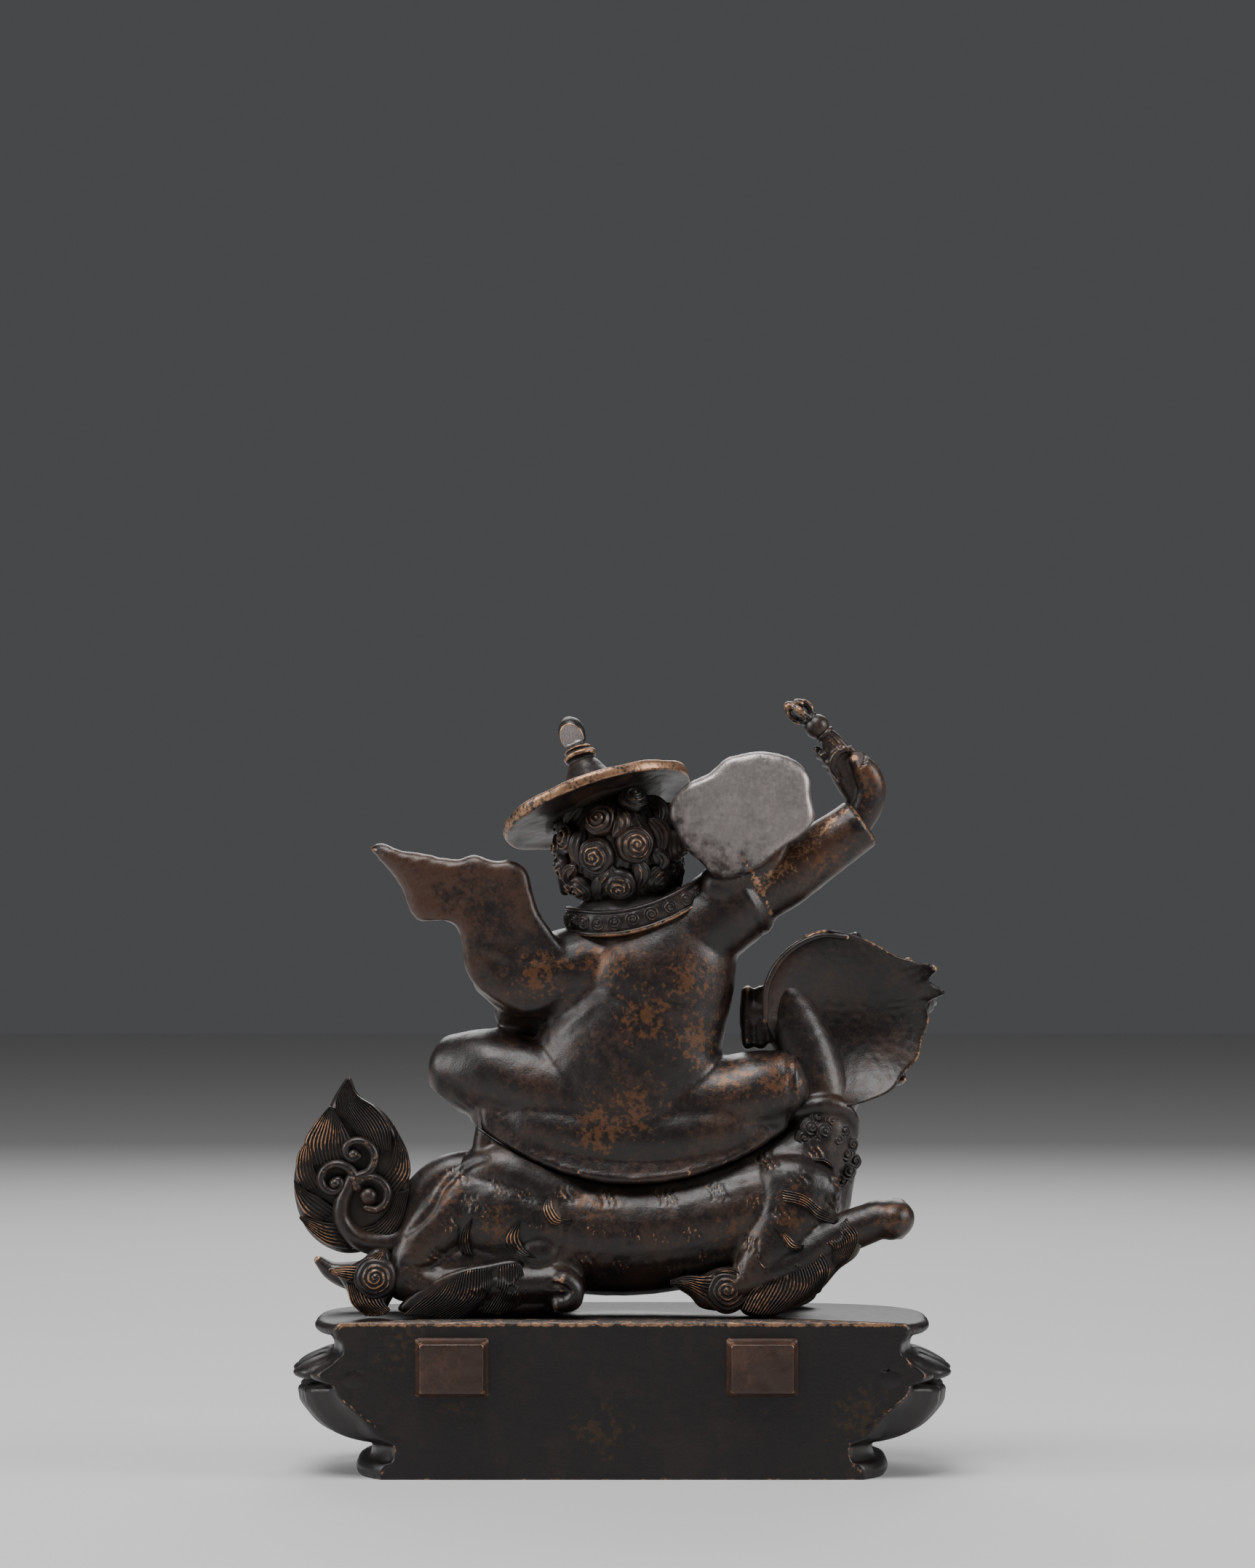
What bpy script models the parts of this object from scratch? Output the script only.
"""A protector deity who rides a snow lion on a lotus plinth, cast in bronze.

Three castings: the plinth, with a flat back and two square lugs that carry an aureole, the lion that
stands on it, and the rider who sits crosswise on the lion's back. The statue faces -Y, its flat back
looks along +Y, +X is the figure's left, +Z is up, and the origin is in the middle of the underside.
"""

import math

import bpy
import numpy as np

# Plinth, in metres.
PLINTH_HEIGHT = 0.0398
RIM_WIDTH = 0.1578  # across the bead rim, at its widest
PLINTH_DEPTH = 0.0720  # from the front of the bead rim to the flat back
OVAL_SHARE = 1.2056  # the rim's whole oval over the depth that the flat back leaves of it
SQUARENESS = 3.4  # exponent of the oval: 2 is an ellipse, more is squarer
PETALS = 30  # petals round the whole oval, those cut away at the back included
LUG_WIDTH = 0.0165
LUG_HEIGHT = 0.0118
LUG_PROUD = 0.0050
LUG_FLARE = 0.0010  # a lug's root is this much larger on each side than its end
LUG_DROP = 0.0115  # from the plinth's top to the middle of a lug
LEFT_LUG_OUT = 0.0433
RIGHT_LUG_OUT = 0.0357

# Lion and rider, one sculpted group that is sized to its throne and drawn on a grid of equal parts.
GROUP_TO_RIM = 1.00127  # the group's height, from soles to the sceptre's tip, over the plinth's rim width
GROUP_PARTS = 158  # parts in the group's height
SEAT_HEIGHT = 34.0  # the saddle's lowest point, in parts above the soles
FOOT_GAP = 0.0003
SEAT_GAP = 0.0004
KNEE_GAP = 0.0010  # between the lion's neck and the rider's right knee

# Fineness of the solids.
VOXEL = 0.75  # in parts
PLINTH_TRIANGLES = 2700
LION_TRIANGLES = 3350
RIDER_TRIANGLES = 3550

BRONZE = (0.030, 0.021, 0.017, 1.0)
WORN_BRONZE = (0.075, 0.042, 0.026, 1.0)
PAST = 0.001  # how far a joined form runs into what it joins

FLAT_BACK = PLINTH_DEPTH / 2
OVAL_DEPTH = PLINTH_DEPTH * OVAL_SHARE
OVAL_MIDDLE = OVAL_DEPTH / 2 - PLINTH_DEPTH / 2
GROUP_HEIGHT = RIM_WIDTH * GROUP_TO_RIM
PART = GROUP_HEIGHT / GROUP_PARTS


# Curves and surfaces


def along(points, count, closed=False):
    """Evenly spaced rows on the smooth curve through the given rows; the first three columns are places."""
    rows = np.asarray(points, float)
    if closed:
        rows = np.vstack([rows[-2:], rows, rows[:3]])
    gaps = np.linalg.norm(np.diff(rows[:, :3], axis=0), axis=1)
    knots = np.concatenate([[0.0], np.cumsum(np.maximum(gaps, 1e-6))])
    slopes = np.gradient(rows, knots, axis=0)
    first, last = (knots[2], knots[-3]) if closed else (knots[0], knots[-1])
    at = np.linspace(first, last, count + 1)[:-1] if closed else np.linspace(first, last, count)
    i = np.clip(np.searchsorted(knots, at, side="right") - 1, 0, len(knots) - 2)
    span = (knots[i + 1] - knots[i])[:, None]
    t = (at - knots[i])[:, None] / span
    h00, h10 = 2 * t**3 - 3 * t**2 + 1, t**3 - 2 * t**2 + t
    h01, h11 = -2 * t**3 + 3 * t**2, t**3 - t**2
    return h00 * rows[i] + h10 * span * slopes[i] + h01 * rows[i + 1] + h11 * span * slopes[i + 1]


def closed_rings(rings):
    """Vertices and faces of a closed surface over rings of points, with a pole at each end."""
    count, sides = rings.shape[:2]
    first, last = rings[0].mean(axis=0), rings[-1].mean(axis=0)
    points = np.vstack([rings.reshape(-1, 3), first, last])
    k = np.arange(sides)
    n = (k + 1) % sides
    faces = []
    for r in range(count - 1):
        a, b = r * sides, (r + 1) * sides
        faces += np.stack([a + k, a + n, b + n, b + k], axis=1).tolist()
    low, high = count * sides, count * sides + 1
    faces += [[low, int(j), int(i)] for i, j in zip(k, n)]
    top = (count - 1) * sides
    faces += [[high, int(top + i), int(top + j)] for i, j in zip(k, n)]
    return points, faces


def tube(stations, sides=20, rings=24, ends=(1.0, 1.0), depth=(0, 1, 0)):
    """A limb through stations of x, y, z, half width and half depth; ends gives how far each end bulges."""
    rows = along(stations, rings)
    place, wide, deep = rows[:, :3], np.maximum(rows[:, 3], 0.05), np.maximum(rows[:, 4], 0.05)
    run = np.gradient(place, axis=0)
    run /= np.linalg.norm(run, axis=1)[:, None]
    across = np.cross(np.asarray(depth, float), run)
    across /= np.linalg.norm(across, axis=1)[:, None]
    through = np.cross(run, across)
    turn = np.linspace(0, 2 * math.pi, sides, endpoint=False)
    bend = np.linspace(0, math.pi / 2, 6)[1:-1]

    def ring(i, shift, share):
        middle = place[i] + run[i] * shift
        offset = across[i] * wide[i] * np.cos(turn)[:, None] + through[i] * deep[i] * np.sin(turn)[:, None]
        return middle + offset * share

    start, stop = min(wide[0], deep[0]) * ends[0], min(wide[-1], deep[-1]) * ends[1]
    loops = [ring(0, -start * math.sin(b), math.cos(b)) for b in bend[::-1]] if ends[0] else []
    loops += [ring(i, 0.0, 1.0) for i in range(rings)]
    loops += [ring(-1, stop * math.sin(b), math.cos(b)) for b in bend] if ends[1] else []
    return closed_rings(np.array(loops))


def blob(centre, radii, lean=0.0, sides=24, rings=14):
    """An ellipsoid with half sizes along X, Y and Z, leaned about Y by degrees."""
    tall = np.linspace(-math.pi / 2, math.pi / 2, rings + 2)[1:-1]
    turn = np.linspace(0, 2 * math.pi, sides, endpoint=False)
    ball = np.stack(
        [
            np.cos(tall)[:, None] * np.cos(turn),
            np.cos(tall)[:, None] * np.sin(turn),
            np.repeat(np.sin(tall)[:, None], sides, axis=1),
        ],
        axis=2,
    )
    points, faces = closed_rings(ball * np.asarray(radii, float))
    a = math.radians(lean)
    spin = np.array([[math.cos(a), 0, math.sin(a)], [0, 1, 0], [-math.sin(a), 0, math.cos(a)]])
    return points @ spin.T + np.asarray(centre, float), faces


def plate(outline, thick, y=lambda x, z: 0 * x, middle=None, count=96, rings=8, crisp=6.0):
    """A plate in the X-Z plane with a smooth closed outline of x, z; y gives its middle surface."""
    edge = along([(x, 0, z) for x, z in outline], count, closed=True)[:, [0, 2]]
    heart = np.asarray(middle if middle is not None else edge.mean(axis=0), float)
    shares = np.linspace(0, 1, rings + 1)[1:]
    loops = []
    for side in (1, -1):
        for share in shares if side > 0 else shares[::-1]:
            flat = heart + (edge - heart) * share
            half = thick / 2 * max(1 - share**crisp, 0.0) ** 0.5
            if share < 1 or side > 0:
                height = y(flat[:, 0], flat[:, 1]) + side * half
                loops.append(np.stack([flat[:, 0], height, flat[:, 1]], axis=1))
    return closed_rings(np.array(loops))


def disc(centre, axis, radius, profile, sides=40):
    """A turned form: profile rows give distance along the axis and radius as a share."""
    n = np.asarray(axis, float) / np.linalg.norm(axis)
    u = np.cross(n, (0, 1, 0))
    u /= np.linalg.norm(u)
    v = np.cross(n, u)
    turn = np.linspace(0, 2 * math.pi, sides, endpoint=False)[:, None]
    loops = [
        np.asarray(centre, float) + n * height + radius * share * (u * np.cos(turn) + v * np.sin(turn))
        for height, share in profile
    ]
    return closed_rings(np.array(loops))


def curl(centre, facing, size, lift, hand=1, turns=1.6):
    """A lock wound into a snail: a tapering roll that spirals in to a raised middle."""
    n = np.asarray(facing, float) / np.linalg.norm(facing)
    u = np.cross(n, (0, 0, 1.0))
    u /= np.linalg.norm(u)
    v = np.cross(n, u)
    t = np.linspace(0, 1, 22)
    swing = hand * 2 * math.pi * turns * t
    reach = size * (1 - t) ** 0.8 * 0.74
    place = (
        np.asarray(centre, float)
        + (u * np.cos(swing)[:, None] + v * np.sin(swing)[:, None]) * reach[:, None]
        + n * (lift * 0.75 * t)[:, None]
    )
    roll = size * (0.27 - 0.07 * t)
    return tube(np.column_stack([place, roll, roll]), sides=10, rings=34, depth=n)


def lock(points, width, lift, sides=12, rings=16):
    """A tongue of hair: a low roll through x, y, z points, widest before its middle and pointed."""
    rows = along(points, rings)
    t = np.linspace(0, 1, rings)
    swell = np.sin(math.pi * t**0.8) ** 0.7 * 0.95 + 0.05
    return tube(np.column_stack([rows[:, :3], width * swell, lift * (0.35 + 0.65 * swell)]), sides, rings)


# Scene building


def clear_scene():
    for item in list(bpy.data.objects):
        bpy.data.objects.remove(item)


def bronze(name, colour, roughness):
    material = bpy.data.materials.new(name)
    material.use_nodes = True
    shader = material.node_tree.nodes["Principled BSDF"]
    shader.inputs["Base Color"].default_value = colour
    shader.inputs["Metallic"].default_value = 0.85
    shader.inputs["Roughness"].default_value = roughness
    return material


def mesh_object(name, forms, part=1.0, at=(0.0, 0.0, 0.0)):
    """One object that stands at a place and holds all the forms, their drawn parts multiplied by part."""
    points, faces, start = [], [], 0
    for form_points, form_faces in forms:
        points.append(form_points)
        faces += [[start + i for i in face] for face in form_faces]
        start += len(form_points)
    mesh = bpy.data.meshes.new(name)
    mesh.from_pydata((np.vstack(points) * part).tolist(), [], faces)
    mesh.validate()
    item = bpy.data.objects.new(name, mesh)
    item.location = at
    bpy.context.scene.collection.objects.link(item)
    return item


def evaluated_triangles(item):
    graph = bpy.context.evaluated_depsgraph_get()
    graph.update()
    mesh = item.evaluated_get(graph).to_mesh()
    mesh.calc_loop_triangles()
    return len(mesh.loop_triangles)


def fuse(item, voxel, passes):
    """Melts overlapping forms into one skin and eases the joins, as wax is worked before casting."""
    melt = item.modifiers.new("melt", "REMESH")
    melt.mode = "VOXEL"
    melt.voxel_size = voxel
    ease = item.modifiers.new("ease", "SMOOTH")
    ease.factor = 0.5
    ease.iterations = passes


def thin_out(item, triangles):
    """Keeps about this many triangles, most of them where the surface bends."""
    coarse = item.modifiers.new("coarse", "DECIMATE")
    coarse.ratio = 1.0
    coarse.use_collapse_triangulate = True
    coarse.ratio = min(1.0, triangles / evaluated_triangles(item))


def combine(item, other, operation):
    """Cuts or joins item with other, a helper that isn't a piece of its own."""
    other.hide_render = True
    other.display_type = "WIRE"
    step = item.modifiers.new(operation.lower() + "_" + other.name, "BOOLEAN")
    step.operation = operation
    step.object = other


def box(name, low, high):
    corners = [(x, y, z) for x in (low[0], high[0]) for y in (low[1], high[1]) for z in (low[2], high[2])]
    faces = [[0, 1, 3, 2], [4, 6, 7, 5], [0, 4, 5, 1], [2, 3, 7, 6], [0, 2, 6, 4], [1, 5, 7, 3]]
    return mesh_object(name, [(np.array(corners), faces)])


# Plinth


def plinth_profile():
    """Rows of height, half width, lower petal and upper petal swell, in millimetres, from top to bottom.

    Heights are drawn for a plinth 39.8 mm tall and follow its own height.
    """
    half, tall = RIM_WIDTH * 500, PLINTH_HEIGHT * 1000
    rim = [(0.0, -2.6, 0, 0), (-0.4, -0.8, 0, 0), (-1.6, 0.1, 0, 0), (-2.9, -0.5, 0, 0), (-3.7, -3.2, 0, 0)]
    recess = [(-4.8, -4.2, 0, 0), (-8.4, -4.2, 0, 0.2)]
    upper = [
        (-9.2, -2.4, 0, 1.4), (-11.4, -1.2, 0, 4.4), (-13.6, -0.6, 0, 5.8), (-15.2, -1.6, 0, 4.6),
        (-15.9, -2.4, 0.6, 1.0),
    ]
    lower = [(-17.0, -0.8, 4.0, 0), (-20.0, -0.8, 4.8, 0), (-24.7, -3.3, 4.8, 0), (-28.8, -7.6, 4.4, 0)]
    under = [(-30.8, -12.2, 2.6, 0), (-31.5, -13.9, 0.3, 0)]
    foot = [
        (-35.2, -13.9, 0, 0), (-36.0, -11.2, 0, 0), (-37.6, -10.4, 0, 0), (-39.2, -11.0, 0, 0),
        (-42.0, -12.0, 0, 0),
    ]
    rows = rim + recess + upper + lower + under + foot
    return np.array([(tall * (1 + dz / 39.8), half + out, low, high) for dz, out, low, high in rows])


def oval_turns(count):
    """Angles that space points evenly round the oval's outline."""
    fine = np.linspace(0, 2 * math.pi, 20001)
    x, y = oval(fine, RIM_WIDTH / 2, OVAL_DEPTH / 2)
    run = np.concatenate([[0], np.cumsum(np.hypot(np.diff(x), np.diff(y)))])
    return np.interp(np.linspace(0, run[-1], count, endpoint=False), run, fine)


def oval(turn, half_width, half_depth):
    power = 2 / SQUARENESS
    c, s = np.cos(turn), np.sin(turn)
    return half_width * np.sign(c) * np.abs(c) ** power, half_depth * np.sign(s) * np.abs(s) ** power


def plinth_form(per_petal=12, rings=64):
    """Petals swell outwards between grooves; a rounded leaf's section is a half ellipse.

    The lower ones tuck in behind, so that they end before the flat back.
    """
    count = PETALS * per_petal
    turns = oval_turns(count)
    share = (np.arange(count) % per_petal) / per_petal
    lower_leaf = np.sqrt(np.clip(1 - np.abs(2 * share - 1) ** 2.4, 0, 1))
    upper_leaf = np.roll(lower_leaf, per_petal // 2)
    rim_y = oval(turns, RIM_WIDTH / 2, OVAL_DEPTH / 2)[1] + OVAL_MIDDLE
    behind = np.clip((rim_y / FLAT_BACK - 0.66) / 0.32, 0, 1)
    behind = behind * behind * (3 - 2 * behind)
    profile = plinth_profile()
    rows = along(np.column_stack([profile[:, :2], 0 * profile[:, 0], profile[:, 2:]]), rings)
    loops = []
    for height, half, _, low, high in rows:
        tuck = 3.0 * math.exp(-(((height / (PLINTH_HEIGHT * 1000) - 0.37) / 0.13) ** 2))
        out = half + np.maximum(low, 0) * lower_leaf * (1 - behind) - tuck * behind
        out = out + np.maximum(high, 0) * upper_leaf * (1 - 0.2 * behind)
        x, y = oval(turns, out, OVAL_DEPTH * 500 + 0.3 * (out - RIM_WIDTH * 500))
        loops.append(np.stack([x, y + OVAL_MIDDLE * 1000, np.full(count, height)], axis=1))
    return closed_rings(np.array(loops)[::-1])


def lug(side):
    """A square tenon on the flat back, a little smaller at its end than at its root."""
    loops = []
    middle = PLINTH_HEIGHT - LUG_DROP
    for y, flare in ((FLAT_BACK - PAST, LUG_FLARE), (FLAT_BACK, LUG_FLARE), (FLAT_BACK + LUG_PROUD, 0.0)):
        w, h = LUG_WIDTH / 2 + flare, LUG_HEIGHT / 2 + flare
        loops.append([(side + i * w, y, middle + j * h) for i, j in ((-1, -1), (-1, 1), (1, 1), (1, -1))])
    return closed_rings(np.array(loops))


def build_plinth():
    plinth = mesh_object("lotus_plinth", [plinth_form()], part=0.001)
    thin_out(plinth, PLINTH_TRIANGLES)
    wide = RIM_WIDTH
    combine(
        plinth,
        box("back_cut", (-wide, FLAT_BACK, -wide), (wide, FLAT_BACK + wide, wide)),
        "DIFFERENCE",
    )
    combine(plinth, box("floor_cut", (-wide, -wide, -wide), (wide, wide, 0.0)), "DIFFERENCE")
    combine(plinth, mesh_object("left_lug", [lug(LEFT_LUG_OUT)]), "UNION")
    combine(plinth, mesh_object("right_lug", [lug(-RIGHT_LUG_OUT)]), "UNION")
    plinth.data.materials.append(bronze("plinth_bronze", BRONZE, 0.42))
    return plinth


# Lion: x towards the rump, y backwards, z above the soles

TAIL_EDGE = (
    (70.4, 61.5), (73.6, 57.6), (75.8, 53.4), (78.8, 49.0), (82.0, 43.8), (84.2, 38.4), (84.6, 32.4),
    (83.6, 27.0), (81.0, 21.6), (77.0, 18.0), (71.6, 16.0), (65.2, 17.0), (60.0, 21.2), (56.2, 26.6),
    (54.9, 33.0), (55.6, 40.4), (57.6, 46.4), (60.6, 51.4), (65.0, 55.0), (68.2, 57.2),
)
MANE_EDGE = (
    (-36.6, 78.6), (-36.9, 85.4), (-40.1, 92.0), (-45.4, 96.7), (-50.6, 99.2), (-58.1, 98.6),
    (-64.6, 96.2), (-71.0, 92.6), (-76.6, 91.0), (-81.6, 89.6), (-79.6, 86.4), (-83.4, 83.2),
    (-79.4, 80.2), (-79.6, 75.8), (-77.8, 70.6), (-76.8, 66.2), (-72.8, 61.8), (-70.4, 58.4),
    (-64.0, 55.2), (-57.0, 53.8), (-50.6, 55.4), (-46.2, 60.2), (-42.4, 66.6), (-38.4, 72.2),
)
HEEL_TUFT_EDGE = (
    (75.2, 12.6), (70.4, 13.2), (66.6, 15.0), (63.4, 17.8), (60.6, 17.4), (58.6, 13.0), (57.6, 8.4),
    (59.4, 4.2), (61.8, 1.0), (65.2, 0.8), (69.0, 3.2), (71.6, 8.0), (73.4, 10.6),
)
ELBOW_TUFT_EDGE = (
    (-12.4, 9.0), (-15.6, 10.2), (-20.0, 10.6), (-24.6, 12.6), (-28.8, 12.8), (-32.4, 9.4),
    (-31.8, 4.6), (-28.4, 2.0), (-23.6, 1.6), (-19.8, 2.6), (-17.4, 5.2), (-14.4, 7.2),
)
SHIN_FUR_EDGE = (
    (57.4, 1.8), (50.4, 8.6), (44.4, 11.6), (35.4, 13.8), (25.6, 14.2), (24.4, 8.6), (26.8, 3.4),
    (33.0, 1.0), (43.6, 0.3), (52.0, 0.6),
)
FOREARM_FUR_EDGE = (
    (-31.0, 2.6), (-36.0, 0.9), (-40.6, 1.5), (-46.8, 3.8), (-51.6, 7.6), (-55.6, 12.2), (-60.6, 16.4),
    (-61.8, 22.0), (-58.6, 25.8), (-51.4, 19.4), (-41.4, 11.0), (-34.0, 6.6),
)


def lion_body():
    trunk = [
        (50, 4, 27, 8, 9), (43, 4, 28.5, 12.5, 14), (30, 4, 26, 15, 17), (12, 4, 21.6, 16.4, 17.5),
        (-5, 4, 20.8, 16.2, 17), (-22, 4, 23.5, 15.6, 16.5), (-38, 4, 28.5, 15, 15), (-47, 4, 32, 12.5, 12),
    ]
    neck = [
        (-42, 4, 34, 13, 12), (-51.2, 2.5, 45, 9.2, 9.4), (-51.4, 2, 54, 5.6, 8.6),
        (-49.8, 1.5, 61, 5.9, 8.6), (-47.4, 1, 69, 6.4, 8.0), (-44.0, 0.6, 77, 6.6, 6.4),
        (-41.0, 0.6, 84, 4.2, 4.4),
    ]
    chest = [(-50, -2, 30, 10, 11), (-53.4, -4, 40, 7.8, 10), (-54.6, -6, 49, 5.4, 9), (-58.6, -8, 64, 8.4, 8)]
    rump_top = [(12, 10, 28, 8, 9), (22, 10.5, 32, 8.6, 9.4), (32, 9, 36.5, 8.4, 9.6), (40, 7, 35, 6.5, 7.5)]
    return [tube(trunk, ends=(0.8, 0.8)), tube(neck), tube(chest), tube(rump_top, ends=(0.8, 0.8))]


def hind_leg(y, shift, near):
    """Folded under the lion: a round thigh, a shank back to the hock, and a long foot on the ground."""
    side = 1 if near else -1
    flank = [
        (40, 10, 30, 10.5, 8), (47, 13, 23.5, 9, 7.5), (53, 15, 15.5, 6.6, 6.2),
        (55.5, 16, 10, 5.6, 5.2),
    ]
    foot = [
        (56, 16, 9.5, 5.8, 5), (46, 16, 7.6, 5.2, 5.6), (32, 16.5, 8, 5.8, 6.2),
        (20, 17, 8.6, 5.6, 6.6),
    ]
    shank = [(20, 17, 17, 6.4, 6), (36, 16.5, 14.5, 6, 5.6), (52, 16, 12, 5.4, 5.2)]
    forms = [
        tube([(x + shift, y + side * (dy - 16), z, a, b) for x, dy, z, a, b in shank]),
        tube([(x + shift, y + side * (dy - 16), z, a, b) for x, dy, z, a, b in flank]),
        tube([(x + shift, y + side * (dy - 16), z, a, b) for x, dy, z, a, b in foot]),
        blob((30 + shift, y - side * 3.4, 25.4), (17, 9, 13)),
        blob((21 + shift, y - side * 0.6, 16.4), (7.5, 7, 7)),
        blob((17.6 + shift, y + side * 1.0, 8.8), (7.4, 7, 5.6)),
    ]
    for toe in (-1.5, -0.5, 0.5, 1.5):
        knuckle = [(14.6, 9.6, 3.0), (11.6, 7.2, 2.6), (12.2, 3.4, 2.2), (15.4, 2.6, 1.6)]
        forms.append(tube(
            [(x + shift, y + side * 1.0 + toe * 3.4, z, r, r) for x, z, r in knuckle],
            12,
            14,
        ))
    pad = [(20, 3.0, 3.0, 5.0), (29, 2.6, 3.4, 5.2), (40, 2.4, 3.2, 5.0)]
    forms.append(tube([(x + shift, y, z, a, b) for x, z, a, b in pad], ends=(0.8, 0.8)))
    return forms


def near_foreleg():
    """Bent at an elbow close to the ground, the paw lifted forward."""
    upper = [
        (-45, 12, 33, 12, 8.5), (-43, 14, 25, 10.5, 8), (-37, 16.5, 15.5, 7.6, 6.6), (-32, 18, 9, 5, 5),
    ]
    fore = [
        (-30, 18, 8, 4.6, 4.8), (-43, 18, 13.4, 5, 5), (-56, 17.5, 21, 5.4, 5),
        (-66, 17.5, 25, 5.2, 5.4),
    ]
    forms = [tube(upper), tube(fore), blob((-69.6, 17.5, 25.0), (5.8, 6.4, 5.3), lean=20)]
    for toe in (-1.5, -0.5, 0.5, 1.5):
        knuckle = [(-71.0, 28.0, 2.6), (-73.2, 24.6, 2.2), (-71.4, 21.4, 1.8)]
        forms.append(tube([(x, 17.5 + toe * 3.1, z, r, r) for x, z, r in knuckle], 12, 12))
    forms.append(tube([(-36, 13, 9, 5, 5), (-36, 13, 2.4, 6, 5.5)], ends=(0.6, 0.6)))
    return forms


def far_foreleg():
    leg = [(-42, -4, 28, 11, 8), (-43, -11, 20, 8.4, 7), (-42, -15, 11, 5.6, 5.6), (-42, -17, 5, 5.2, 5.8)]
    forms = [tube(leg), blob((-44, -18.5, 3.8), (7.4, 6.4, 4.2))]
    for toe in (-1.5, -0.5, 0.5, 1.5):
        forms.append(
            tube([(-42 + toe * 3, -21, 4.6, 2.4, 2.4), (-42 + toe * 3, -25, 2.8, 2.0, 2.0)], 12, 8)
        )
    return forms


def tail():
    """A plume carried upright behind the rump, with a stem that runs up into three scrolls."""
    root = [
        (38, 7, 36, 6.5, 6.5), (45, 8, 35.6, 5.6, 5.6), (51, 9, 31.4, 5.2, 5.2), (55, 10.5, 25, 4.8, 4.8),
        (59, 12, 18.8, 4.2, 4.4), (65, 13.5, 17.6, 3.6, 4.2), (70, 14.6, 20.6, 3.2, 4.0),
        (71.6, 15.4, 26, 2.7, 3.6), (69.6, 15.6, 32.6, 2.3, 3.2),
    ]
    forms = [
        plate(TAIL_EDGE, 6.0, lambda x, z: 11.6 + 0.004 * (x - 69) ** 2, middle=(70, 34)),
        tube(root, rings=40, ends=(0.5, 0.5)),
    ]
    for x, z, size, hand in ((69.2, 40.6, 5.4, 1), (74.0, 33.8, 5.2, -1), (65.2, 31.0, 5.4, -1)):
        forms.append(curl((x, 13.8, z), (0, 1, 0), size, 2.6, hand))
    return forms


def mane():
    """A bowl of hair, open at the back, behind a head that looks the way the rider looks."""

    def hollow(x, z):
        deep = 13.0 * np.clip(1 - ((x + 60) / 24) ** 2 - ((z - 77) / 23) ** 2, 0, 1) ** 0.7
        beside_knee = np.clip((x + 56) / 14, 0, 1) * np.clip((76 - z) / 14, 0, 1)
        return 10.0 - deep - 6.0 * beside_knee

    bowl = plate(MANE_EDGE, 3.4, hollow, middle=(-60, 77), rings=14)
    forms = [bowl]
    heart = np.array([-60.0, 77.0])
    tips = along([(x, 0, z) for x, z in MANE_EDGE], 15, closed=True)[:, [0, 2]]
    for tip in tips:
        reach = tip - heart
        curl_over = np.array([-reach[1], reach[0]]) * 0.10
        steps = [(0.46, -12.0), (0.66, -8.5), (0.84, -1.5), (0.97, 5.0)]
        path = []
        for share, y in steps:
            x, z = heart + reach * share + curl_over * (share - 0.6) * 2
            path.append((x, y, z))
        forms.append(lock(path, 4.4, 3.0))
    for x, y, z in ((-46.8, 10, 48), (-51.4, 9.6, 45.4), (-55.4, 7.6, 42), (-57.6, 5, 38), (-58.2, 3, 33.6)):
        forms.append(blob((x, y, z), (2.9, 2.9, 2.9)))
    for x in (-32.6, -36.0):
        forms.append(tube([(x, -2, 83, 1.7, 2.6), (x + 0.3, -1, 76, 1.9, 2.8), (x, 0, 69.6, 1.7, 2.6)], 12))
    forms.append(tube([(-33.6, -2, 77, 4.4, 3.6), (-46, -2, 77, 6, 5)], ends=(0.4, 1)))
    return forms


def lion_head():
    """Broad and short: a domed brow, round eyes, a wide nose, an open jaw and small ears."""
    skull = [(-60, -7, 78, 11, 10), (-60, -13, 77.5, 12.2, 11.3), (-60, -20, 75.5, 10, 9)]
    muzzle = [(-60, -17, 72, 8.5, 6.4), (-60, -24, 71, 8, 5.4), (-60, -28.5, 71, 6.4, 4.2)]
    jaw = [(-60, -12, 64, 8, 4.4), (-60, -19, 61.6, 6.6, 3.2), (-60, -24.5, 61.4, 4.8, 2.4)]
    forms = [
        tube(skull, depth=(0, 0, 1), ends=(0.2, 1)),
        tube(muzzle, depth=(0, 0, 1)),
        tube(jaw, depth=(0, 0, 1)),
        blob((-60, -28.6, 74.0), (4.6, 2.8, 2.8)),
        blob((-60, -15, 88.5), (3.0, 3.2, 3.6)),
    ]
    for side in (1, -1):
        x = -60 + side * 5.6
        forms.append(blob((x, -20.8, 79.0), (3.4, 3.0, 3.2)))
        forms.append(
            tube(
                [
                    (x - side * 3.6, -21.6, 81.6, 1.5, 1.7), (x, -22.2, 84.0, 1.7, 1.9),
                    (x + side * 4.4, -18.6, 83.4, 1.3, 1.5),
                ],
                10,
                12,
            )
        )
        forms.append(blob((-60 + side * 6.2, -23.6, 70.6), (3.4, 3.6, 3.0)))
        forms.append(blob((-60 + side * 8.8, -13, 66.0), (3.2, 4.4, 4.4)))
        ear = [
            (-60 + side * 10, -8, 84, 3.4, 2.6), (-60 + side * 13.6, -9, 88, 2.6, 1.8),
            (-60 + side * 15, -10, 91, 1.2, 1),
        ]
        forms.append(tube(ear, 12, 12))
        forms.append(
            tube([(-60 + side * 3.9, -26, 69.6, 1.3, 1.3), (-60 + side * 4.2, -26.4, 65.4, 0.7, 0.7)], 8, 8)
        )
    return forms


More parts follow.
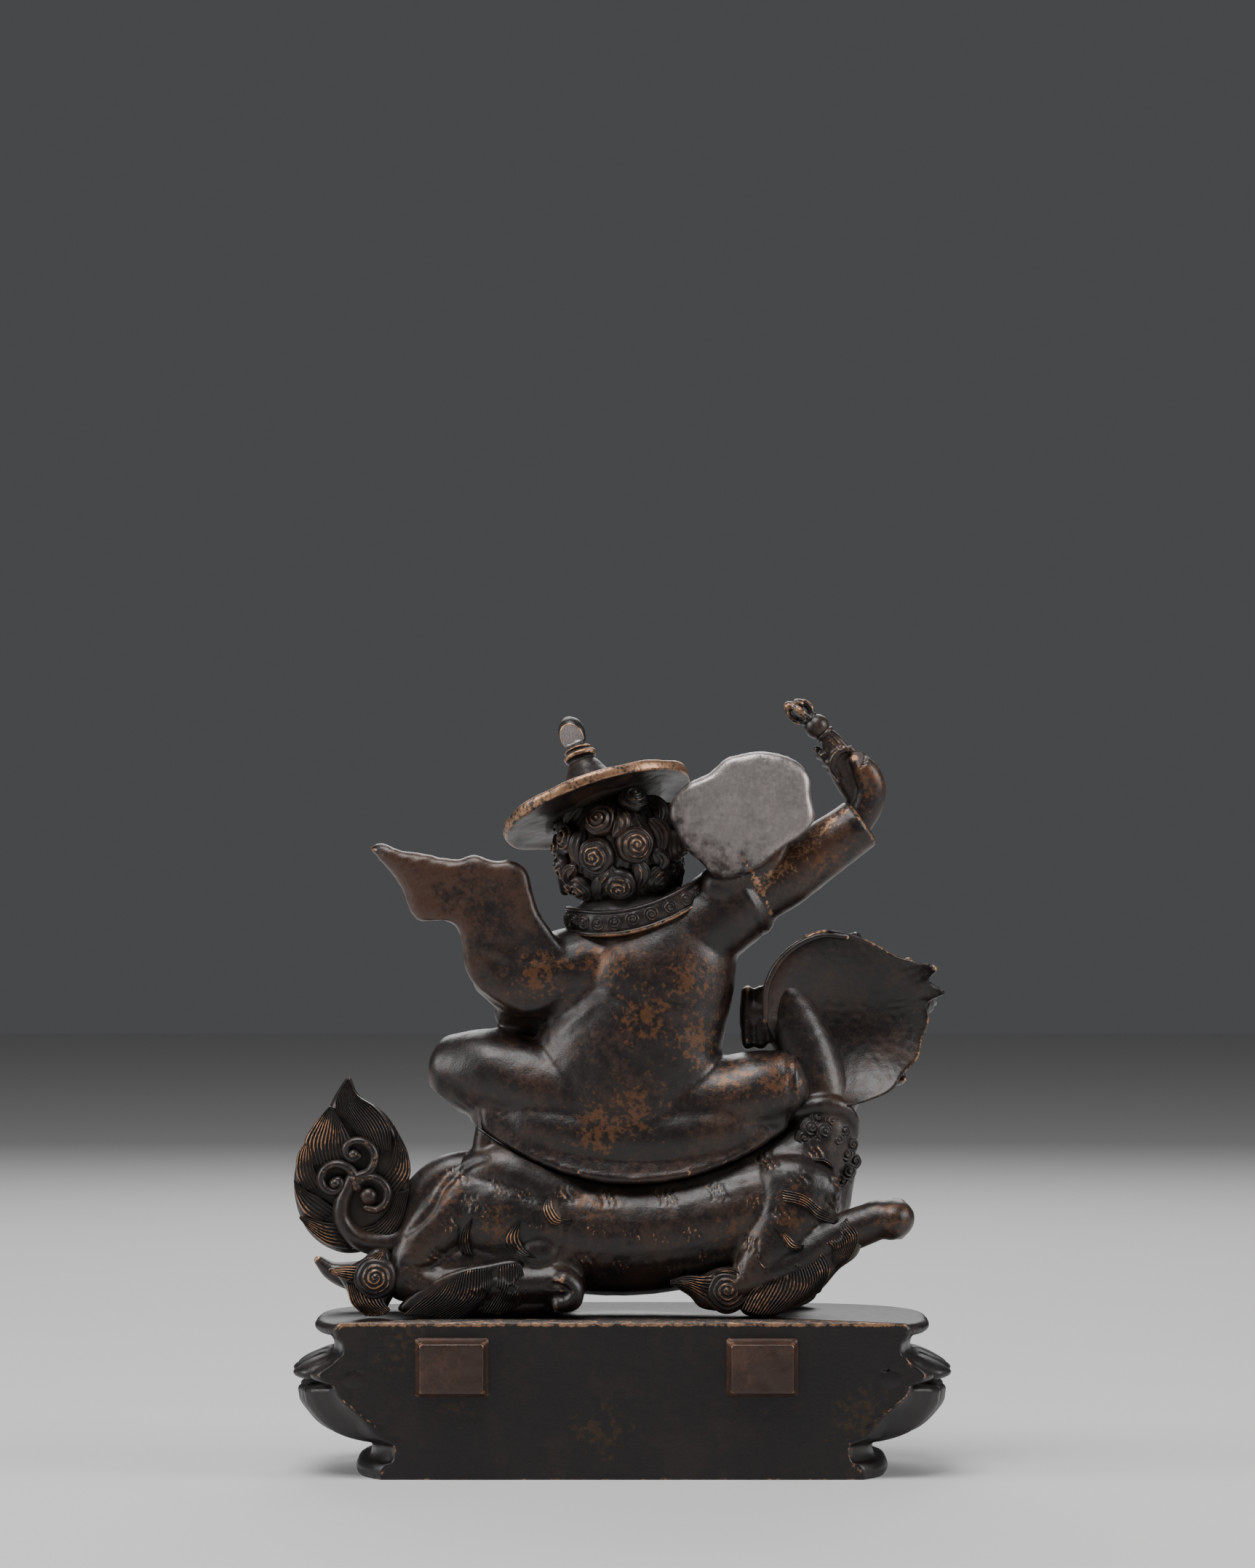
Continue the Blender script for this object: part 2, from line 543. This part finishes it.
def fur():
    """Flat tufts at the near heel, elbow, shin and forearm."""
    forms = [
        plate(HEEL_TUFT_EDGE, 6.0, lambda x, z: 17.0 + 0 * x, middle=(64.6, 9)),
        plate(ELBOW_TUFT_EDGE, 6.0, lambda x, z: 18.0 + 0 * x, middle=(-26.4, 7)),
        plate(SHIN_FUR_EDGE, 5.0, lambda x, z: 20.2 - 0.12 * (8 - z), middle=(40, 6.6)),
        plate(FOREARM_FUR_EDGE, 4.0, lambda x, z: 20.6 + 0 * x, middle=(-47, 10.4)),
        curl((64.4, 19.6, 9.8), (0, 1, 0), 5.6, 2.4, -1),
        curl((-26.8, 20.4, 6.9), (0, 1, 0), 5.0, 1.8, 1),
    ]
    spur = [(60, -12, 8.6, 5, 4), (70, -12, 8.2, 3.8, 3), (76.6, -12, 10, 2.2, 2), (79.4, -12, 12.4, 1.2, 1.2)]
    forms.append(tube(spur, 12, 14))
    thigh_licks = (
        [(38.9, 20.6, 25.3), (41.4, 19.6, 19.8), (36.8, 22.0, 13.3)],
        [(25.2, 21.4, 25.7), (29.2, 21.4, 20.2), (23.4, 23.0, 14.7)],
        [(19.4, 19.9, 31.2), (20.2, 21.0, 27.4), (14.2, 21.6, 23.8)],
    )
    forms += [lock(path, 2.2, 1.6) for path in thigh_licks]
    for x, z, run, width in ((-45.5, 29.0, 11, 2.3), (-44.0, 18.5, 9, 2.1), (-36.6, 12.8, 7.6, 1.8)):
        path = [(x + run / 2, 22.6, z + 2.5), (x, 23.4, z), (x - run / 2, 21.6, z - 4)]
        forms.append(lock(path, width, 1.5))
    return forms


# Rider: x to the rider's left, y backwards, z above the lowest point of the seat

SLEEVE_EDGE = (
    (65.6, 87.0), (63.2, 88.0), (57.6, 86.0), (52.0, 85.4), (46.0, 84.0), (42.4, 83.8), (38.4, 85.2),
    (33.6, 83.4), (28.4, 83.4), (25.0, 81.4), (23.2, 76.0), (21.4, 70.2), (18.4, 65.6), (13.0, 56.0),
    (15.0, 48.0), (24.0, 43.4), (31.4, 46.0), (37.6, 50.6), (40.9, 55.6), (41.6, 61.6), (43.4, 66.6),
    (47.4, 68.2), (52.8, 67.8), (55.2, 70.6), (57.0, 75.6), (60.4, 80.8), (63.8, 84.4),
)
WING_EDGE = (
    (-11.9, 95.7), (-13.0, 99.6), (-15.7, 102.6), (-22.9, 106.2), (-26.8, 109.8), (-31.2, 111.1),
    (-35.6, 111.7), (-40.0, 111.1), (-43.9, 109.8), (-47.2, 107.3), (-48.8, 104.5), (-48.8, 100.7),
    (-49.6, 97.4), (-50.0, 94.0), (-47.0, 90.6), (-42.0, 87.0), (-37.0, 83.0), (-30.0, 79.4),
    (-24.0, 79.0), (-20.2, 82.6), (-16.6, 86.0), (-14.0, 90.6),
)
HAIR_CURLS = (
    (-2.6, 99.0), (5.2, 93.9), (13.8, 89.6), (-3.4, 87.4), (6.5, 84.1), (15.6, 82.1), (0.9, 77.8),
    (-8.4, 79.3), (-12.0, 95.4), (-13.6, 86.6), (10.7, 76.8), (-15.2, 79.6),
)
HEAD_MIDDLE = (0.6, 0.5, 87.0)
HEAD_RADII = (14.6, 14.6, 15.2)
HAT_MIDDLE = (6.7, 0.0, 97.7)
HAT_AXIS = (0.312, -0.287, 0.906)
BRIM_RADIUS = 25.4
SEAT_CURVE = 0.0088  # how fast the saddle rises to each side, per part
SEAT_MIDDLE = -3.0


def robe():
    trunk = [
        (0, 3, 8, 24, 15), (-0.6, 3, 20, 23.8, 16), (-2.2, 3, 31, 25, 16.2), (-4.2, 3, 38, 23.4, 15.6),
        (-7.2, 2.5, 45, 20.4, 14.8), (-8.2, 2.5, 53, 21.2, 15.2), (-8.2, 2, 60, 21, 14.4),
        (-6.4, 1.5, 67, 16, 12),
        (-3.4, 1, 73, 9, 9),
    ]
    left_thigh = [(8, 3, 20, 13, 14), (25, 2, 25, 12.4, 13), (37, 0, 28, 11.6, 12), (44, -2, 28.2, 9.8, 10)]
    skirt = [
        (34.4, 2, 18.5, 7.5, 8), (26, 2, 15.5, 11.5, 13), (12, 2.5, 12, 13.5, 15.5),
        (-3, 2.5, 11, 14, 16.6),
        (-18, 2.5, 12, 13.5, 15.8), (-31, 2, 14.5, 11.0, 13.5), (-39.2, 1, 17.5, 7.0, 8),
    ]
    return [
        tube(trunk, sides=28, rings=34),
        tube(left_thigh, ends=(0.6, 0.62)),
        right_thigh(0.0),
        tube(skirt, sides=28, rings=34, ends=(0.6, 0.6)),
        hem(1),
        hem(-1),
    ]


def right_thigh(spare):
    """The thigh beside the lion's neck; spare makes a larger one, which hollows the neck to clear it."""
    stations = [
        (-10, 3, 19, 13, 14), (-26, 2.5, 20.4, 12, 13), (-37, 1.5, 23, 11, 12), (-43.6, 0.5, 24, 9.2, 9.5),
    ]
    return tube([(x, y, z, a + spare, b + spare) for x, y, z, a, b in stations], ends=(0.6, 0.62))


def seat(x):
    return SEAT_CURVE * (x - SEAT_MIDDLE) ** 2


def hem(side):
    """The rolled edge of the robe where it lies across the lion's back."""
    x = np.linspace(34.6, -41.0, 11)
    y = 2.5 + side * 15.3 * np.sqrt(1 - 0.85 * ((x + 3) / 40.5) ** 2)
    return tube(np.column_stack([x, y, seat(x) + 2.2, 0 * x + 2.7, 0 * x + 2.0]), 14, 40)


def shins():
    """Legs crossed in front, in soft boots with turned-up toes."""
    left = [
        (42, -6, 25, 8.6, 8.4), (28, -17, 18, 7.6, 7.4), (12, -23, 12.4, 6.2, 6.2),
        (0, -24.5, 9.6, 5.6, 5.6),
    ]
    right = [
        (-38.6, -5, 20.6, 8.4, 8.2), (-29, -16, 14.5, 7.4, 7.2), (-18, -22, 11, 6.4, 6.2),
        (-8, -23, 12, 5.6, 5.6),
    ]
    left_boot = [
        (0, -24.5, 9.4, 5.4, 5.4), (-9, -26, 7.6, 5.2, 4.8), (-17, -26.4, 7.2, 4.2, 3.6),
        (-22, -26, 10.6, 1.8, 1.8),
    ]
    right_boot = [
        (-8, -23, 12.4, 5.2, 5), (2, -26, 17.4, 5.2, 4.6), (10, -28, 19.6, 4.2, 3.6),
        (15, -28.4, 23.4, 1.8, 1.8),
    ]
    return [tube(left), tube(right), tube(left_boot), tube(right_boot)]


def left_arm():
    """The sleeve is thrown back in a broad flying fold; the forearm reaches forward to the chest."""
    upper = [
        (4, 2, 57, 11.5, 11), (16, 4, 53.8, 11.4, 10.6), (28, 5, 53.6, 10.4, 9.6),
        (32.4, 4, 55.6, 8.4, 8.4),
    ]
    fore = [(30.4, 2, 54, 7.8, 8.4), (29, -8, 52.4, 7.8, 8), (22, -17, 51.4, 7, 7.4), (17, -21, 51.4, 6.2, 7)]
    hollow = [(28, -1, 45, 6.5, 5.6), (18, -8, 44, 6.5, 6.4), (12, -14, 46, 5, 6)]
    fold = plate(SLEEVE_EDGE, 6.4, lambda x, z: 10.6 - 0.0016 * (x - 24) ** 2, middle=(30, 66), rings=10)
    hand = [(17, -21, 51.6, 4, 4), (12, -24, 53, 4.2, 3.6), (7.4, -24.6, 55, 3.6, 3)]
    forms = [tube(upper, ends=(1, 0.7)), tube(fore, ends=(1, 0.2)), tube(hollow), fold, tube(hand, 14, 14)]
    forms.append(tube([(17, -1, 46, 6, 6), (16, -2, 36, 6, 6)]))
    forms.append(blob((5.6, -25, 60.4), (5, 4.2, 5.6)))
    forms.append(blob((5.6, -25, 66.4), (1.8, 1.8, 2.6)))
    for finger in range(4):
        z = 56.2 + finger * 1.9
        forms.append(
            tube(
                [(9.6, -23.5, z, 1.1, 1.1), (6.0, -29.2, z + 0.4, 1.1, 1.1), (2.4, -27.6, z + 0.6, 1, 1)],
                8,
                12,
            )
        )
    return forms


def right_arm():
    """Raised, in a wide short sleeve over a long narrow one; its ground-off fold stands behind."""
    outer = [(-12, 2, 61, 12.4, 12), (-22, 2.6, 66.6, 11.6, 11.4), (-33.6, 3.4, 74.4, 10.2, 10)]
    inner = [(-28, 3, 71, 8, 8), (-42, 4, 79, 8.2, 7.6), (-52, 4, 86, 7.4, 7), (-62, 4, 93, 6.9, 6.8)]
    wrist = [
        (-58, 4, 90, 3.8, 3.8), (-63.4, 4, 98.6, 3.6, 3.4), (-65.0, 4, 102.6, 2.9, 2.9),
        (-61.8, 4, 107, 2.9, 3.1),
    ]
    hand = [(-62.4, 4, 106, 2.9, 3.0), (-59.6, 4, 109.6, 3.7, 3.7), (-57.2, 4, 112, 3.2, 3.4)]
    wing = plate(WING_EDGE, 6.0, lambda x, z: 14.0 - 0.06 * (z - 95), middle=(-31, 95), rings=10)
    forms = [
        tube(outer, ends=(1, 0.2)),
        tube(inner, ends=(1, 0.15)),
        tube(wrist, 16, 20),
        tube(hand, 16, 12),
        wing,
        tube([(-26, 8, 76, 7, 6), (-34, 9, 84, 6, 5), (-38, 10, 92, 5, 4)]),
    ]
    for finger in range(4):
        along_grip = np.array([-57.4 + 1.55 * finger, 0, 108.6 + 1.5 * finger])
        ring = [(-1.6, 6.6, 2.2), (0.9, 7.6, 0.4), (2.6, 4.2, -1.4), (1.4, 1.2, -1.6)]
        forms.append(tube(
            [(along_grip[0] + a, b, along_grip[2] + c, 1.15, 1.15) for a, b, c in ring],
            8,
            14,
        ))
    forms.append(
        tube([(-60, 4, 110, 1.6, 1.6), (-57.6, 1.2, 113.4, 1.4, 1.4), (-54.6, 1.4, 113.6, 1.1, 1.1)], 8, 10)
    )
    return forms


def thunderbolt():
    """A sceptre with a ball in the middle and closed prongs at each end."""
    axis = np.array([13.6, 0, 12.6])
    length = np.linalg.norm(axis)
    profile = [
        (-4.5, 0.5), (-3.0, 1.5), (-1.0, 1.9), (1.5, 1.4), (4.0, 1.3), (6.0, 1.6), (7.4, 2.4),
        (9.4, 2.8), (11.2, 2.2),
        (12.2, 1.6), (13.0, 2.1), (13.8, 1.8), (15.6, 2.2), (17.2, 1.9), (18.4, 1.2), (19.4, 0.6),
    ]
    return [disc((-56.6, 4, 110.4), axis / length, 1.0, profile, 14)]


def head():
    forms = [
        blob(HEAD_MIDDLE, HEAD_RADII),
        blob((0.6, -5.0, 80.0), (10.4, 9.6, 9.4)),
        tube([(-1.6, 1.5, 66, 9.6, 9), (-0.6, 1, 76, 9.4, 9)], ends=(0.6, 0.6)),
        blob((0.6, -14.2, 72.8), (4.0, 3.2, 2.8)),
        tube(
            [(0.6, -13.6, 87.4, 1.5, 1.6), (0.6, -16.0, 83.6, 1.9, 1.9), (0.6, -17.0, 80.6, 2.6, 1.7)],
            12,
            12,
        ),
        tube(
            [(-3.4, -14.6, 76.6, 1.0, 0.9), (0.6, -15.9, 77.2, 1.3, 1.2), (4.6, -14.6, 76.6, 1.0, 0.9)],
            10,
            12,
        ),
        tube(
            [(-2.4, -14.4, 75.0, 0.9, 0.9), (0.6, -15.2, 74.6, 1.2, 1.1), (3.6, -14.4, 75.0, 0.9, 0.9)],
            10,
            12,
        ),
    ]
    for side in (1, -1):
        brow = [(1.8, -14.2, 87.6, 0.9, 0.9), (5.4, -14.0, 89.4, 1.1, 1.0), (9.6, -11.0, 87.4, 0.8, 0.8)]
        forms.append(tube([(0.6 + side * x, y, z, a, b) for x, y, z, a, b in brow], 8, 12))
        forms.append(blob((0.6 + side * 5.2, -12.9, 84.4), (3.0, 1.9, 1.7)))
        forms.append(blob((0.6 + side * 6.4, -11.2, 79.2), (3.4, 2.8, 3.2)))
        ear = [(14.4, -2.6, 87.0, 1.5, 1.3), (15.2, -1.4, 81.6, 1.7, 1.3), (14.2, -2.4, 75.4, 1.9, 1.5)]
        forms.append(tube([(0.6 + side * x, y, z, a, b) for x, y, z, a, b in ear], 10, 12))
    for i, (x, z) in enumerate(HAIR_CURLS):
        out = np.array([(x - HEAD_MIDDLE[0]) / HEAD_RADII[0], 0, (z - HEAD_MIDDLE[2]) / HEAD_RADII[2]])
        out[1] = math.sqrt(max(1.0 - out[0] ** 2 - out[2] ** 2, 0.02))
        place = np.asarray(HEAD_MIDDLE) + out * np.asarray(HEAD_RADII)
        forms.append(curl(place, out, 4.3, 2.6, 1 if i % 3 else -1))
    for side, x0 in ((1, 13.2), (-1, -12.4)):
        for k in range(3):
            z = 93 - 7 * k
            forms.append(
                lock(
                    [(x0, 2 + k, z + 4), (x0 + side * 2.6, 5 + k, z), (x0 + side * 0.8, 7 + k, z - 5)],
                    2.4,
                    2.0,
                )
            )
    return forms


def hat():
    """A broad brim with a thick lip, a concave cone, a ring, and a bud that is filed flat behind."""
    profile = [
        (-1.6, 0.30), (-1.4, 0.62), (-1.1, 0.86), (-1.5, 0.95), (-1.4, 0.99), (-0.5, 1.0), (0.5, 1.0),
        (1.1, 0.99), (1.0, 0.93),
        (0.5, 0.84), (1.0, 0.62), (2.6, 0.42), (5.0, 0.31), (8.4, 0.225), (11.6, 0.155), (12.6, 0.13),
        (13.2, 0.165),
        (14.2, 0.172), (15.0, 0.125), (15.6, 0.145), (16.1, 0.12), (16.6, 0.092), (17.6, 0.104), (19.2, 0.122),
        (21.2, 0.116), (22.8, 0.078), (23.7, 0.03),
    ]
    points, faces = disc(HAT_MIDDLE, HAT_AXIS, BRIM_RADIUS, profile, 56)
    axis = np.asarray(HAT_AXIS)
    filed = np.array([0.16, 0.96, -0.22]) / np.linalg.norm([0.16, 0.96, -0.22])
    run = (points - np.asarray(HAT_MIDDLE)) @ axis
    past = (points - np.asarray(HAT_MIDDLE) - 20.0 * axis) @ filed - 1.9
    points = np.where(((run > 17.0) & (past > 0))[:, None], points - filed * past[:, None], points)
    return [(points, faces)]


def collar():
    """A worked band that stands round the neck, higher on the side of the raised arm."""
    a = np.linspace(0, 2 * math.pi, 13)
    x, y = -4.6 + 18.4 * np.cos(a), 1.0 + 13.6 * np.sin(a)
    z = 73.2 - 0.275 * (x + 4.6) - 4.6 * np.sin(a) ** 2 - 2.4 * np.clip(-np.sin(a), 0, 1)
    ring = tube(
        np.column_stack([x, y, z, 0 * a + 1.7, 0 * a + 3.2]), 14, 60, ends=(0.5, 0.5), depth=(0, 0, 1),
    )
    return [ring, blob((-4, 1, 69), (17, 12.5, 7))]


def front_dress():
    """Crossed lapels, a belt with a round clasp, and a sash whose ends hang over the legs."""
    lapels = [
        [(11, -10, 68), (3, -14, 60), (-6, -15, 52), (-12, -14, 46)],
        [(-16, -10, 70), (-10, -13.4, 61), (-2, -15.2, 52), (4, -15, 46)],
    ]
    forms = [tube([(x, y, z, 3.6, 1.5) for x, y, z in path], 12, 24, depth=(0, -1, 0.2)) for path in lapels]
    a = np.linspace(0, 2 * math.pi, 13)
    x, y = -6.4 + 20.6 * np.cos(a), 2.4 + 14.8 * np.sin(a)
    z = 43.4 + 0 * a
    front = np.clip(-np.sin(a), 0, 1) ** 0.5
    forms.append(
        tube(
            np.column_stack([x, y - 1.0 * front, z, 0.4 + 1.6 * front, 3.0 + 0 * a]),
            12,
            48,
            depth=(0, 0, 1),
        )
    )
    forms.append(blob((-5.4, -14.6, 43.2), (4.6, 2.4, 4.6)))
    for side in (1, -1):
        end = [
            (-5.4, -14.6, 40), (-5.4 + side * 4, -18, 32), (-5.4 + side * 6, -19.4, 24),
            (-5.4 + side * 9, -22, 17),
        ]
        forms.append(
            tube(
                [(px, py, pz, 2.6 + 0.5 * k, 1.3) for k, (px, py, pz) in enumerate(end)],
                12,
                22,
                depth=(0, -1, 0.2),
            )
        )
    return forms


# Assembly


def seat_cutter(name, low, high, x_ends, drop, part, at):
    """A block whose curved face follows the saddle: it lies below that face if low is under it."""
    x = np.linspace(x_ends[0], x_ends[1], 25)
    z = seat(x) - drop
    loops = []
    for y in (-60.0, 60.0):
        face = np.column_stack([x, 0 * x + y, z])
        back = np.column_stack([x[::-1], 0 * x + y, np.full(len(x), low if low < 0 else high)])
        loops.append(np.vstack([face, back]))
    rings = np.array(loops)
    if low >= 0:
        rings = rings[::-1]
    return mesh_object(name, [closed_rings(rings)], part, at)


def build_figures():
    ground = (0.0, 0.0, PLINTH_HEIGHT + FOOT_GAP)
    saddle = (0.0, 0.0, ground[2] + SEAT_HEIGHT * PART)
    lion_forms = lion_body() + hind_leg(16, 0, True) + hind_leg(-12, 3, False) + near_foreleg()
    lion_forms += far_foreleg() + tail() + mane() + lion_head() + fur()
    lion_forms.append(tube([(36, 10, 36, 4, 4), (34.8, 10, 49, 3, 3.4)], 14, 10))
    rider_forms = robe() + shins() + left_arm() + right_arm() + thunderbolt() + head() + hat() + collar()
    rider_forms += front_dress()
    lion = mesh_object("snow_lion", lion_forms, PART, ground)
    rider = mesh_object("rider", rider_forms, PART, saddle)
    for figure, triangles in ((lion, LION_TRIANGLES), (rider, RIDER_TRIANGLES)):
        fuse(figure, VOXEL * PART, 4)
        thin_out(figure, triangles)
    sides = (-43.6, 37.4)
    above = seat_cutter("saddle_cut", 1.0, 25.0, sides, SEAT_GAP / PART, PART, saddle)
    below = seat_cutter("robe_cut", -40.0, 0.0, (-70.0, 70.0), 0.0, PART, saddle)
    knee = mesh_object("knee_cut", [right_thigh(KNEE_GAP / PART)], PART, saddle)
    combine(lion, above, "DIFFERENCE")
    combine(lion, knee, "DIFFERENCE")
    combine(rider, below, "DIFFERENCE")
    wide = RIM_WIDTH
    combine(lion, box("sole_cut", (-wide, -wide, -wide), (wide, wide, ground[2])), "DIFFERENCE")
    lion.data.materials.append(bronze("lion_bronze", BRONZE, 0.36))
    rider.data.materials.append(bronze("rider_bronze", WORN_BRONZE, 0.34))


if __name__ == "__main__":
    clear_scene()
    build_plinth()
    build_figures()
